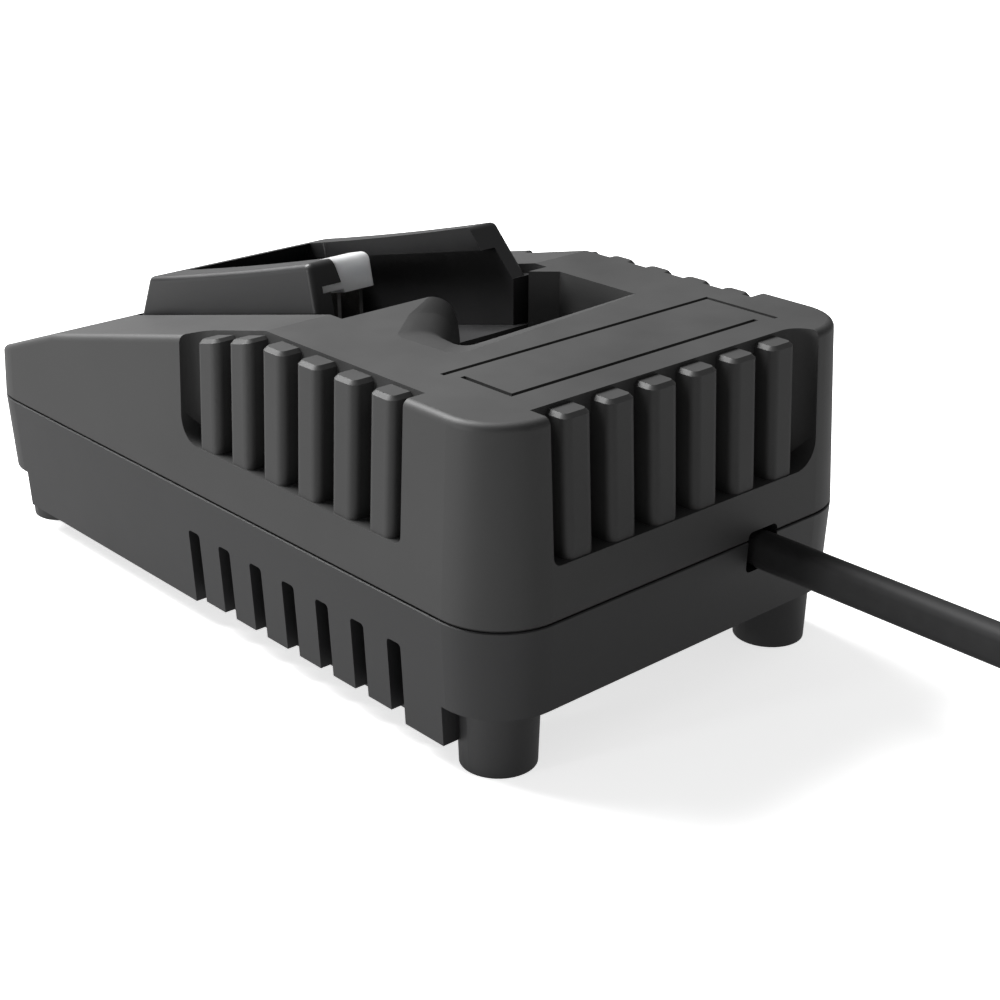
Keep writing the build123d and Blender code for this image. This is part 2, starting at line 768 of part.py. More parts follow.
with BuildPart() as light_pipe:
    pipe_front = rail_rear_top - pipe_length
    pipe_bottom = rail_rise - pipe_height
    extrude(rail_outline(near_rail_base, pipe_inner_edge), amount=pipe_width)
    slide_slab(-half_length, pipe_front, bay_bottom, 2 * rail_rise,
               pipe_inner_edge, pipe_outer_edge, Mode.SUBTRACT)
    slide_slab(-half_length, half_length, bay_bottom, pipe_bottom,
               pipe_inner_edge, pipe_outer_edge, Mode.SUBTRACT)
    with BuildSketch(Plane.XZ.offset(-half_length)) as pipe_side:
        Polygon((pipe_outer_edge, slide_at(rail_rear_top, rail_rise)),
                (pipe_outer_edge, slide_at(rail_rear_top, pipe_bottom) - pipe_taper),
                (pipe_outer_edge - pipe_taper, slide_at(rail_rear_top, pipe_bottom) - pipe_taper), align=None)
    extrude(pipe_side.sketch, amount=case_length, mode=Mode.SUBTRACT)
    fillet(light_pipe.faces().sort_by(Axis.Y)[-1].edges().sort_by(Axis.X)[0], pipe_corner)
    tab_top = flange_bottom
    tab_rear = rail_end(tab_top)
    tab_front = tab_rear - pipe_tab_length
    side_profile([(tab_front, slide_at(tab_front, tab_top)), (tab_rear, slide_at(tab_rear, tab_top)),
                  (rail_end(tab_top - pipe_tab), slide_at(rail_end(tab_top - pipe_tab), tab_top - pipe_tab)),
                  (tab_front, slide_at(tab_front, tab_top - pipe_tab))],
                 pipe_outer_edge - pipe_tab_overlap, channel_half + pipe_tab_reach)
    stem_y = tab_rear - pipe_tab_length / 2
    stem_x = channel_half + pipe_stem_inset + pipe_stem / 2
    block((stem_x - pipe_stem / 2, stem_x + pipe_stem / 2), (stem_y - pipe_stem / 2, stem_y + pipe_stem / 2),
          (slide_at(stem_y, -channel_depth - channel_floor), slide_at(stem_y, tab_top - pipe_stem_root)))
light_pipe.part.label = "light_pipe"
export_step(light_pipe.part, "parts/light_pipe.step")

with BuildPart() as indicator_led:
    led_top = slide_at(stem_y, -channel_depth - channel_floor) - fit_gap
    upright_cylinder(stem_x, stem_y, led_diameter, led_top - led_height, led_top - led_diameter / 2)
    with Locations((stem_x, stem_y, led_top - led_diameter / 2)):
        Sphere(led_diameter / 2)
    upright_cylinder(stem_x, stem_y, led_diameter + 2 * led_collar, led_top - led_height,
                     led_top - led_height + led_collar_height)
indicator_led.part.label = "indicator_led"
export_step(indicator_led.part, "parts/indicator_led.step")

# ---------------------------------------------------------------- contacts in the bay
terminal_front = rail_front_top + front_wall + terminal_gap
terminal_rear = terminal_front + terminal_depth
blade_xs = [(i - (blade_count - 1) / 2) * blade_pitch for i in range(blade_count)]
terminal_screw_xs = (-terminal_width / 2 + terminal_screw_inset, terminal_width / 2 - terminal_screw_inset)

with BuildPart() as terminal_blades:
    blade_low = bay_bottom + blade_rise
    blade_y = terminal_front + blade_inset
    for x in blade_xs:
        slide_slab(blade_y, terminal_rear + blade_reach, blade_low, blade_low + blade_height,
                   x - blade_thickness / 2, x + blade_thickness / 2)
        slide_slab(blade_y, blade_y + blade_tail_width, bay_bottom - channel_floor - blade_tail,
                   blade_low + blade_tail_overlap, x - blade_thickness / 2, x + blade_thickness / 2)
terminal_blades.part.label = "terminal_blades"
export_step(terminal_blades.part, "parts/terminal_blades.step")

with BuildPart() as terminal_block:
    slide_slab(terminal_front, terminal_rear, bay_bottom, terminal_rise,
               -terminal_width / 2, terminal_width / 2)
    add(terminal_blades.part, mode=Mode.SUBTRACT)
    terminal_screw_y = terminal_front + terminal_depth / 2
    for x in terminal_screw_xs:
        seat = Plane((x, terminal_screw_y, slide_at(terminal_screw_y, terminal_rise)),
                     x_dir=(1, 0, 0), z_dir=(0, -slope, 1))
        with Locations(seat):
            Cylinder(board_screw_diameter / 2 + terminal_screw_gap, cutter_length, mode=Mode.SUBTRACT)
terminal_block.part.label = "terminal_block"
export_step(terminal_block.part, "parts/terminal_block.step")

with BuildPart() as terminal_screws:
    for x in terminal_screw_xs:
        seat = Plane((x, terminal_screw_y, slide_at(terminal_screw_y, terminal_rise)),
                     x_dir=(1, 0, 0), z_dir=(0, -slope, 1))
        with Locations(seat):
            Cylinder(terminal_screw_head / 2, terminal_screw_head_height,
                     align=(Align.CENTER, Align.CENTER, Align.MIN))
            Cylinder(board_screw_diameter / 2, terminal_rise + channel_depth + channel_floor,
                     align=(Align.CENTER, Align.CENTER, Align.MAX))
terminal_screws.part.label = "terminal_screws"
export_step(terminal_screws.part, "parts/terminal_screws.step")

# ---------------------------------------------------------------- battery cradle
cradle_half = opening_half - opening_gap
cradle_rear = opening_rear - opening_gap
cradle_front = opening_front + opening_gap
under_skin = -skin_drop - cradle_flange_thickness


def rail(rear_base):
    """A rail on the near side: a leaning wall with a flange along its top that reaches inwards."""
    flange_inner = rail_half_width - rail_flange_width
    with BuildPart() as one_rail:
        extrude(rail_outline(rear_base, flange_inner), amount=rail_flange_width)
        slide_slab(-half_length, half_length, bay_bottom, flange_bottom,
                   flange_inner, channel_half, Mode.SUBTRACT)
        long_edges = one_rail.edges().group_by(Axis.X)[-1].sort_by(SortBy.LENGTH)[-2:]
        fillet(long_edges.sort_by(Axis.Z)[-1], rail_edge_radius)
    return one_rail.part


with BuildPart() as bay_front:
    extrude(rail_outline(near_rail_base, -channel_half), amount=2 * channel_half)
    wall_foot = rail_front_base + front_wall
    wall_top = rail_front_top + front_wall
    side_profile([(wall_foot, slide_at(wall_foot, -tray_drop - rail_sink)),
                  (wall_top, slide_at(wall_top, rail_front_rise)),
                  (wall_top, slide_at(wall_top, 2 * rail_rise)),
                  (half_length, slide_at(half_length, 2 * rail_rise)),
                  (half_length, slide_at(half_length, -tray_drop - rail_sink))],
                 -channel_half, channel_half, Mode.SUBTRACT)

with BuildPart() as battery_cradle:
    slide_slab(cradle_front, cradle_rear, under_skin, -tray_drop, -cradle_half, cradle_half)
    slide_slab(inner_front_kink + cradle_flange_gap, slide_start - cradle_flange_rear, under_skin, -skin_drop,
               -opening_half - cradle_flange, opening_half + cradle_flange)
    slide_slab(rail_front_base, cradle_rear, bay_bottom - channel_floor, -tray_drop,
               -rail_half_width, rail_half_width)
    slide_slab(near_rail_base - rail_seat, cradle_rear, bay_bottom - channel_floor, -tray_drop,
               -cradle_half, cradle_half)
    add(rail(near_rail_base))
    mirror(rail(far_rail_base), about=Plane.YZ)
    add(bay_front.part)
    slide_slab(wall_top, opening_rear, bay_bottom, mouth_rise,
               -channel_half, channel_half, Mode.SUBTRACT)
    slide_slab(near_rail_base + rail_foot_gap, opening_rear, bay_bottom, mouth_rise,
               0, cradle_half - bay_side_strip, Mode.SUBTRACT)
    slide_slab(far_rail_base + rail_foot_gap, opening_rear, bay_bottom, mouth_rise,
               -cradle_half + bay_side_strip, 0, Mode.SUBTRACT)
    add(light_pipe.part, mode=Mode.SUBTRACT)
    for x, y in stakes:
        stake_hole = Plane((x, y, slide_at(y)), x_dir=(1, 0, 0), z_dir=(0, -slope, 1))
        with Locations(stake_hole):
            Cylinder(stake_diameter / 2 + fit_gap, cutter_length, mode=Mode.SUBTRACT)
    for x in blade_xs:
        slot_half = blade_thickness / 2 + blade_slot_gap
        slide_slab(blade_y - blade_slot_gap, blade_y + blade_tail_width + blade_slot_gap,
                   bay_bottom - channel_floor - blade_slot_margin, bay_bottom + blade_slot_margin,
                   x - slot_half, x + slot_half, Mode.SUBTRACT)
    for x in terminal_screw_xs:
        seat = Plane((x, terminal_screw_y, slide_at(terminal_screw_y, terminal_rise)),
                     x_dir=(1, 0, 0), z_dir=(0, -slope, 1))
        with Locations(seat):
            Cylinder(board_screw_diameter / 2 + fit_gap / 2, cutter_length, mode=Mode.SUBTRACT)
battery_cradle.part.label = "battery_cradle"
export_step(battery_cradle.part, "parts/battery_cradle.step")

# ---------------------------------------------------------------- housing screws
with BuildPart() as housing_screws:
    for x, y in feet:
        with Locations((x, y, screw_seat)):
            Cylinder(screw_head_diameter / 2, screw_head_height,
                     align=(Align.CENTER, Align.CENTER, Align.MAX))
            Cylinder(screw_diameter / 2, screw_length, align=(Align.CENTER, Align.CENTER, Align.MIN))
        cross_recess(x, y, screw_seat - screw_head_height, screw_recess, screw_recess_width,
                     screw_recess_depth)
housing_screws.part.label = "housing_screws"
export_step(housing_screws.part, "parts/housing_screws.step")

# ---------------------------------------------------------------- circuit board
with BuildPart() as circuit_board:
    with BuildSketch(Plane.XY.offset(board_bottom)) as board_plan:
        RectangleRounded(2 * board_half_width, 2 * board_half_length, board_corner)
        with Locations(*posts):
            Circle(board_screw_diameter / 2 + board_hole_gap, mode=Mode.SUBTRACT)
    extrude(amount=board_thickness)
circuit_board.part.label = "circuit_board"
export_step(circuit_board.part, "parts/circuit_board.step")

with BuildPart() as board_screws:
    for x, y in posts:
        upright_cylinder(x, y, board_screw_head, board_top, board_top + board_screw_head_height)
        upright_cylinder(x, y, board_screw_diameter, board_top - board_screw_length, board_top)
        cross_recess(x, y, board_top + board_screw_head_height, board_recess, board_recess_width,
                     board_recess_depth)
board_screws.part.label = "board_screws"
export_step(board_screws.part, "parts/board_screws.step")


def board_part(name, solid):
    """Names and writes a piece that stands on the board."""
    solid.part.label = name
    export_step(solid.part, "parts/" + name + ".step")


def package_leads(center_x, center_y, xs, ys, top):
    """Upright leads of a component, from the board up into its body."""
    for x in xs:
        for y in ys:
            block((center_x + x - lead_width / 2, center_x + x + lead_width / 2),
                  (center_y + y - lead_width / 2, center_y + y + lead_width / 2), (board_top, top))


with BuildPart() as transformer_core:
    core_bottom = board_top + core_rise
    core_top = core_bottom + core_height
    block((transformer_x - core_width / 2, transformer_x + core_width / 2),
          (transformer_y - core_leg, transformer_y + core_leg), (core_bottom, core_top))
    for side in (-1, 1):
        window = sorted((transformer_x + side * core_leg / 2,
                         transformer_x + side * (core_width / 2 - core_yoke)))
        block(window, (transformer_y - core_leg, transformer_y + core_leg),
              (core_bottom + core_yoke, core_top - core_yoke), Mode.SUBTRACT)
board_part("transformer_core", transformer_core)

with BuildPart() as transformer_winding:
    winding_half = core_width / 2 - core_yoke - bobbin_gap
    winding_bottom = core_bottom + core_yoke + bobbin_gap
    leg_half = core_leg / 2 + bobbin_gap
    foot_inner = core_leg + bobbin_gap
    block((transformer_x - winding_half, transformer_x + winding_half),
          (transformer_y - winding_length / 2, transformer_y + winding_length / 2),
          (winding_bottom, core_top - core_yoke - bobbin_gap))
    fillet(transformer_winding.edges().filter_by(Axis.Z), winding_corner)
    block((transformer_x - leg_half, transformer_x + leg_half),
          (transformer_y - foot_inner, transformer_y + foot_inner), (core_bottom, core_top), Mode.SUBTRACT)
    for side in (-1, 1):
        block((transformer_x - winding_half, transformer_x + winding_half),
              sorted((transformer_y + side * foot_inner,
                      transformer_y + side * (winding_length / 2 - winding_foot_inset))),
              (board_top, winding_bottom))
board_part("transformer_winding", transformer_winding)

filter_y = board_half_length - filter_row
with BuildPart() as bulk_capacitor:
    upright_cylinder(bulk_x, filter_y, bulk_diameter, board_top, board_top + bulk_height)
    fillet(bulk_capacitor.edges().sort_by(Axis.Z)[-1], can_rim)
board_part("bulk_capacitor", bulk_capacitor)

tail_y = blade_y + blade_tail_width / 2
output_y = tail_y + wire_diameter / 2 + output_gap + output_diameter / 2
with BuildPart() as output_capacitors:
    for side in (-1, 1):
        upright_cylinder(output_x + side * output_spacing / 2, output_y, output_diameter,
                         board_top, board_top + output_height)
    fillet(output_capacitors.edges().group_by(Axis.Z)[-1], can_rim)
board_part("output_capacitors", output_capacitors)

sink_x = board_half_width - sink_inset
fin_pitch = (sink_length - fin_thickness) / (fin_count - 1)
with BuildPart() as heat_sink:
    block((sink_x - sink_plate / 2, sink_x + sink_plate / 2),
          (sink_y - sink_length / 2, sink_y + sink_length / 2), (board_top, board_top + sink_height))
    for i in range(fin_count):
        fin_y = sink_y - sink_length / 2 + i * fin_pitch
        block((sink_x + sink_plate / 2, sink_x + sink_plate / 2 + fin_reach), (fin_y, fin_y + fin_thickness),
              (board_top, board_top + sink_height))
board_part("heat_sink", heat_sink)


def sink_package(name, center_y, lead_places):
    """A moulded package with a metal tab, flat on the heat sink."""
    face_x = sink_x - sink_plate / 2
    body_bottom = board_top + package_rise
    with BuildPart() as package:
        block((face_x - package_thickness, face_x),
              (center_y - package_width / 2, center_y + package_width / 2),
              (body_bottom, body_bottom + package_height))
        block((face_x - tab_thickness, face_x), (center_y - package_width / 2, center_y + package_width / 2),
              (body_bottom + package_height, body_bottom + package_height + tab_height))
        package_leads(face_x - package_thickness / 2, center_y, (0,), lead_places, body_bottom)
    board_part(name, package)


sink_package("power_transistor", sink_y - transistor_offset, (-lead_pitch, 0, lead_pitch))
sink_package("rectifier_diode", sink_y + diode_offset, (-lead_pitch, lead_pitch))

bridge_y = board_half_length - bridge_row
with BuildPart() as bridge_rectifier:
    block((-bridge_width / 2, bridge_width / 2),
          (bridge_y - bridge_thickness / 2, bridge_y + bridge_thickness / 2),
          (board_top + bridge_rise, board_top + bridge_rise + bridge_height))
    bridge_leads = [(i - (bridge_lead_count - 1) / 2) * bridge_lead_pitch for i in range(bridge_lead_count)]
    package_leads(0, bridge_y, bridge_leads, (0,), board_top + bridge_rise)
board_part("bridge_rectifier", bridge_rectifier)

choke_window_half = choke_width / 2 - choke_limb
with BuildPart() as choke_core:
    block((choke_x - choke_width / 2, choke_x + choke_width / 2),
          (filter_y - choke_depth / 2, filter_y + choke_depth / 2), (board_top, board_top + choke_height))
    block((choke_x - choke_window_half, choke_x + choke_window_half),
          (filter_y - choke_depth / 2, filter_y + choke_depth / 2),
          (board_top + choke_limb, board_top + choke_height - choke_limb), Mode.SUBTRACT)
board_part("choke_core", choke_core)

with BuildPart() as choke_windings:
    limb_hole = choke_limb + 2 * choke_winding_gap
    for side in (-1, 1):
        limb_x = choke_x + side * (choke_width - choke_limb) / 2
        with Locations((limb_x, filter_y, board_top + choke_height / 2)):
            Box(limb_hole + 2 * choke_winding_wall,
                choke_depth + 2 * (choke_winding_gap + choke_winding_wall),
                choke_height - 2 * choke_limb - 2 * choke_winding_gap)
            Box(limb_hole, choke_depth + 2 * choke_winding_gap, choke_height, mode=Mode.SUBTRACT)
board_part("choke_windings", choke_windings)

with BuildPart() as line_capacitor:
    line_y = board_half_length - line_row
    block((line_x - line_width / 2, line_x + line_width / 2),
          (line_y - line_thickness / 2, line_y + line_thickness / 2), (board_top, board_top + line_height))
    fillet(line_capacitor.edges().filter_by(Axis.Z), line_corner)
board_part("line_capacitor", line_capacitor)

with BuildPart() as mains_fuse:
    fuse_y = board_half_length - fuse_row
    with Locations(Plane((fuse_x, fuse_y, board_top + fuse_rise), x_dir=(0, 1, 0), z_dir=(1, 0, 0))):
        Cylinder(fuse_diameter / 2, fuse_length)
    for side in (-1, 1):
        clip_x = fuse_x + side * fuse_clip_spacing / 2
        block((clip_x - fuse_clip_width / 2, clip_x + fuse_clip_width / 2),
              (fuse_y - fuse_clip_depth / 2, fuse_y + fuse_clip_depth / 2),
              (board_top, board_top + fuse_rise - fuse_diameter / 2 + fuse_clip_grip))
board_part("mains_fuse", mains_fuse)

with BuildPart() as surge_varistor:
    varistor_y = board_half_length - varistor_row
    varistor_middle = (varistor_x, varistor_y, board_top + varistor_rise)
    with Locations(Plane(varistor_middle, x_dir=(1, 0, 0), z_dir=(0, 1, 0))):
        Cylinder(varistor_diameter / 2, varistor_thickness)
    varistor_lead = varistor_lead_spacing / 2
    package_leads(varistor_x, varistor_y, (-varistor_lead, varistor_lead), (0,),
                  board_top + varistor_rise - varistor_diameter / 2 + varistor_lead_grip)
board_part("surge_varistor", surge_varistor)

chip_y = chip_row - board_half_length


def chip(name, center_x, length, lead_count):
    """A small dual-in-line package with its leads along both long sides."""
    lead_xs = [(i - (lead_count - 1) / 2) * lead_pitch for i in range(lead_count)]
    lead_y = chip_width / 2
    with BuildPart() as package:
        block((center_x - length / 2, center_x + length / 2),
              (chip_y - chip_width / 2, chip_y + chip_width / 2),
              (board_top + chip_rise, board_top + chip_rise + chip_height))
        package_leads(center_x, chip_y, lead_xs, (-lead_y, lead_y), board_top + chip_rise + chip_height / 2)
    board_part(name, package)


chip("control_chip", chip_x, chip_length, chip_lead_count)
chip("optocoupler", optocoupler_x, optocoupler_length, optocoupler_lead_count)

# ---------------------------------------------------------------- wires inside
cord_z = notch_bottom + cord_width / 2
sheath_end = clamp_y - clamp_width / 2 - sheath_stub


def wire(points, radius):
    """A round lead along straight runs and tangent arcs."""
    with BuildLine() as path:
        FilletPolyline(*points, radius=radius)
    route = path.wire()
    with BuildSketch(Plane(origin=route @ 0, z_dir=route % 0)) as section:
        Circle(wire_diameter / 2)
    return sweep(section.sketch, path=route, mode=Mode.PRIVATE)


with BuildPart() as mains_wires:
    for side in (-1, 1):
        wire_z = cord_z + side * wire_spread
        bend_y = sheath_end - wire_run - side * wire_spread
        wire_points = [(cord_x, sheath_end, wire_z), (cord_x, bend_y, wire_z), (cord_x, bend_y, board_top)]
        add(wire(wire_points, wire_bend))
board_part("mains_wires", mains_wires)

tail_bottom = slide_at(tail_y - wire_diameter / 2, bay_bottom - channel_floor - blade_tail)
with BuildPart() as output_wires:
    for x in blade_xs:
        upright_cylinder(x, tail_y, wire_diameter, board_top, tail_bottom)
board_part("output_wires", output_wires)

with BuildPart() as led_leads:
    for side in (-1, 1):
        upright_cylinder(stem_x, stem_y + side * led_lead_spread, led_lead_diameter,
                         board_top, led_top - led_height)
board_part("led_leads", led_leads)

# ---------------------------------------------------------------- cord clamp
cord_exit_y = end_at(cord_z) - cord_seat
with BuildPart() as cord_clamp:
    clamp_bottom = notch_bottom + cord_width
    block((cord_x - clamp_length / 2, cord_x + clamp_length / 2),
          (clamp_y - clamp_width / 2, clamp_y + clamp_width / 2),
          (clamp_bottom, clamp_bottom + clamp_thickness))
    fillet(cord_clamp.edges().filter_by(Axis.Z), clamp_corner)
    for side in (-1, 1):
        upright_cylinder(cord_x + side * clamp_screw_spacing / 2, clamp_y,
                         board_screw_diameter + 2 * clamp_hole_gap,
                         clamp_bottom - cutter_margin, clamp_bottom + clamp_thickness + cutter_margin,
                         Mode.SUBTRACT)
cord_clamp.part.label = "cord_clamp"
export_step(cord_clamp.part, "parts/cord_clamp.step")

with BuildPart() as clamp_screws:
    for side in (-1, 1):
        clamp_screw_x = cord_x + side * clamp_screw_spacing / 2
        clamp_top = clamp_bottom + clamp_thickness
        upright_cylinder(clamp_screw_x, clamp_y, board_screw_head, clamp_top,
                         clamp_top + board_screw_head_height)
        upright_cylinder(clamp_screw_x, clamp_y, board_screw_diameter, notch_bottom - clamp_screw_reach,
                         clamp_top)
        cross_recess(clamp_screw_x, clamp_y, clamp_top + board_screw_head_height, board_recess,
                     board_recess_width, board_recess_depth)
clamp_screws.part.label = "clamp_screws"
export_step(clamp_screws.part, "parts/clamp_screws.step")


def cord_tube(points):
    """The flat cord along straight runs joined by arcs as large as the runs allow."""
    corners = [Vector(*point) for point in points]
    radii = []
    for i in range(1, len(corners) - 1):
        before = corners[i] - corners[i - 1]
        after = corners[i + 1] - corners[i]
        turn = before.get_angle(after)
        radii.append(cord_bend_share * min(before.length, after.length) / tan(radians(turn) / 2))
    with BuildLine() as path:
        if radii:
            FilletPolyline(*points, radius=radii)
        else:
            Line(*points)
    route = path.wire()
    start = route @ 0
    heading = route % 0
    with BuildSketch(Plane(origin=start, x_dir=heading.cross(Vector(0, 0, 1)), z_dir=heading)) as section:
        RectangleRounded(cord_thickness, cord_width, cord_thickness / 2 - cord_side_flat)
    tube = sweep(section.sketch, path=route, mode=Mode.PRIVATE)
    wanted = section.sketch.area * route.length
    print("cord radii", [round(radius, 1) for radius in radii], "length", round(route.length, 1),
          "volume", round(tube.volume, 1), "against", round(wanted, 1))
    return tube


# ---------------------------------------------------------------- mains cord
with BuildPart() as cord_inner_end:
    add(cord_tube([(cord_x, sheath_end, cord_z), (cord_x, cord_exit_y, cord_z)]))
cord_inner_end.part.label = "cord_inner_end"
export_step(cord_inner_end.part, "parts/cord_inner_end.step")

coil_outer = coil_diameter / 2 + coil_columns * cord_thickness / 2
coil_inner = coil_diameter / 2 - coil_columns * cord_thickness / 2
coil_height = coil_layers * cord_width
coil_x = cord_x + coil_outer + cord_thickness / 2 + coil_gap
cord_rest = cord_width / 2
drop_y = half_length + cord_level_run
landing_y = drop_y + cord_drop_run
coil_y = landing_y + cord_bench_run
cord_route = [(cord_x, cord_exit_y, cord_z), (cord_x, drop_y, cord_z), (cord_x, landing_y, cord_rest),
              (cord_x, coil_y - cord_end_gap, cord_rest)]
with BuildPart() as power_cord:
    add(cord_tube(cord_route))
power_cord.part.label = "power_cord"
export_step(power_cord.part, "parts/power_cord.step")


def tie_loop(reach):
    """The tie's closed loop around the coil, carried to both sides of its middle plane."""
    tie_plane = Plane((coil_x, coil_y, 0)).rotated((0, 0, tie_angle))
    loop_plane = Plane(origin=tie_plane.origin, x_dir=tie_plane.x_dir, z_dir=-tie_plane.y_dir)
    loop_width = coil_outer - coil_inner + 2 * tie_thickness
    with BuildSketch(loop_plane) as loop:
        with Locations((coil_diameter / 2, (coil_height + tie_thickness) / 2)):
            RectangleRounded(loop_width, coil_height + tie_thickness, tie_corner)
            RectangleRounded(loop_width - 2 * tie_thickness, coil_height - tie_thickness,
                             tie_corner - tie_thickness, mode=Mode.SUBTRACT)
    extrude(loop.sketch, amount=reach, both=True)


with BuildPart() as cord_tie:
    tie_loop(tie_width / 2)
cord_tie.part.label = "cord_tie"
export_step(cord_tie.part, "parts/cord_tie.step")

with BuildPart() as tie_envelope:
    tie_loop(tie_width / 2 + coil_gap)

with BuildPart() as cord_coil:
    with BuildSketch(Plane((coil_x, coil_y, 0))) as coil_plan:
        Circle(coil_outer)
        Circle(coil_inner, mode=Mode.SUBTRACT)
    extrude(amount=coil_height)
    fillet(cord_coil.edges().filter_by(GeomType.CIRCLE), coil_edge_radius)
    add(tie_envelope.part, mode=Mode.SUBTRACT)
cord_coil.part.label = "cord_coil"
export_step(cord_coil.part, "parts/cord_coil.step")

plug_z = plug_thickness / 2
plug_start = coil_y + tail_length
with BuildPart() as cord_tail:
    add(cord_tube([(cord_x, coil_y + cord_end_gap, plug_z), (cord_x, plug_start, plug_z)]))
cord_tail.part.label = "cord_tail"
export_step(cord_tail.part, "parts/cord_tail.step")

with BuildPart() as plug_body:
    body_start = plug_start + plug_relief
    plug_face = body_start + plug_length
    shoulder_y = body_start + plug_shoulder
    with BuildSketch(Plane.XY) as plug_plan:
        Polygon((cord_x - plug_neck / 2, body_start), (cord_x + plug_neck / 2, body_start),
                (cord_x + plug_width / 2, shoulder_y), (cord_x + plug_width / 2, plug_face),
                (cord_x - plug_width / 2, plug_face), (cord_x - plug_width / 2, shoulder_y), align=None)
        fillet(plug_plan.vertices(), plug_corner)
    extrude(amount=plug_thickness)
    fillet(plug_body.edges().group_by(Axis.Z)[0], plug_edge)
    fillet(plug_body.edges().group_by(Axis.Z)[-1], plug_edge)
    relief_start = Plane((cord_x, body_start, plug_z), x_dir=(1, 0, 0), z_dir=(0, -1, 0))
    with BuildSketch(relief_start.offset(-plug_edge)) as relief_root:
        RectangleRounded(relief_root_width, relief_root_height, relief_corner)
    with BuildSketch(relief_start.offset(plug_relief)) as relief_tip:
        RectangleRounded(relief_tip_width, relief_tip_height, relief_corner)
    loft([relief_root.sketch, relief_tip.sketch])
plug_body.part.label = "plug_body"
export_step(plug_body.part, "parts/plug_body.step")

with BuildPart() as plug_pins:
    for side in (-1, 1):
        pin_middle = (cord_x + side * pin_spacing / 2, plug_face, plug_z)
        pin_base = Plane(pin_middle, x_dir=(1, 0, 0), z_dir=(0, 1, 0))
        with Locations(pin_base):
            Cylinder(pin_diameter / 2, pin_length, align=(Align.CENTER, Align.CENTER, Align.MIN))
    fillet(plug_pins.edges().group_by(Axis.Y)[-1], pin_tip_radius)
plug_pins.part.label = "plug_pins"
export_step(plug_pins.part, "parts/plug_pins.step")
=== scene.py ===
import bpy
import bmesh
import math
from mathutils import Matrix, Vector


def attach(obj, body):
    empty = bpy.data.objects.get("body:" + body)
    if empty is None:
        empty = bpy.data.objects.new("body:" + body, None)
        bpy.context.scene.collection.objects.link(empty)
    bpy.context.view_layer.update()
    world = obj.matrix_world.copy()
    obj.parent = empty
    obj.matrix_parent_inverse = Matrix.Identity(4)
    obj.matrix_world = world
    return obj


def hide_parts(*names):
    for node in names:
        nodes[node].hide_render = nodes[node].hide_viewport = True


mm = 0.001

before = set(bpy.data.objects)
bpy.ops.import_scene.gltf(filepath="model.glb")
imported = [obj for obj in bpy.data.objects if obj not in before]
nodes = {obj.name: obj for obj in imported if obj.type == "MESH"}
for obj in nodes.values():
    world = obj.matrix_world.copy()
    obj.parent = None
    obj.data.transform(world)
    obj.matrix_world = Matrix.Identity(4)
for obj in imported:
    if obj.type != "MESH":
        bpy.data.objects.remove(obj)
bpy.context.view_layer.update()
print("frame loaded:", len(nodes), "nodes")


# ---- colours and nodes

def linearColour(hexText):
    channels = [int(hexText[i:i + 2], 16) / 255 for i in (0, 2, 4)]
    linear = [c / 12.92 if c <= 0.04045 else ((c + 0.055) / 1.055) ** 2.4 for c in channels]
    return (*linear, 1.0)


def addNode(tree, kind, settings=None, links=None):
    node = tree.nodes.new(kind)
    for name, value in (settings or {}).items():
        node.inputs[name].default_value = value
    for name, source in (links or {}).items():
        tree.links.new(source, node.inputs[name])
    return node


def newMaterial(name):
    material = bpy.data.materials.new(name)
    material.use_nodes = True
    tree = material.node_tree
    tree.nodes.clear()
    return material, tree


def objectNoise(tree, settings):
    place = addNode(tree, "ShaderNodeTexCoord")
    return addNode(tree, "ShaderNodeTexNoise", settings, {"Vector": place.outputs["Object"]})


# dark and light tone of one finish, which drift into each other with a noise
def twoTone(tree, noise, look, ends):
    shade = addNode(tree, "ShaderNodeValToRGB", {}, {"Fac": noise.outputs["Fac"]})
    stops = shade.color_ramp.elements
    for stop, position, tone in zip(stops, ends, ("dark", "light")):
        stop.position = position
        stop.color = linearColour(look[tone])
    return shade


def bumpOf(tree, noise, strength, depth):
    return addNode(tree, "ShaderNodeBump", {"Strength": strength, "Distance": depth * mm},
                   {"Height": noise.outputs["Fac"]})


def finishSurface(tree, settings, links):
    surface = addNode(tree, "ShaderNodeBsdfPrincipled", settings, links)
    addNode(tree, "ShaderNodeOutputMaterial", {}, {"Surface": surface.outputs["BSDF"]})


# ---- camera: place in mm, and the direction from the object back to it
camera = {
    "place": (187.9, 237.4, 141.6),
    "back": (0.6168, 0.6826, 0.3919),
    "focalPixels": 1831,
    "frameWidth": 1000,
    "sensor": 36.0,
    "nearest": 0.01,
    "farthest": 20.0,
}
cameraData = bpy.data.cameras.new("camera")
cameraData.sensor_width = camera["sensor"]
cameraData.lens = camera["focalPixels"] / camera["frameWidth"] * camera["sensor"]
cameraData.clip_start = camera["nearest"]
cameraData.clip_end = camera["farthest"]
cameraObject = bpy.data.objects.new("camera", cameraData)
cameraObject.location = Vector(camera["place"]) * mm
cameraObject.rotation_euler = (-Vector(camera["back"])).to_track_quat("-Z", "Y").to_euler()
bpy.context.scene.collection.objects.link(cameraObject)
bpy.context.scene.camera = cameraObject
print("camera placed")


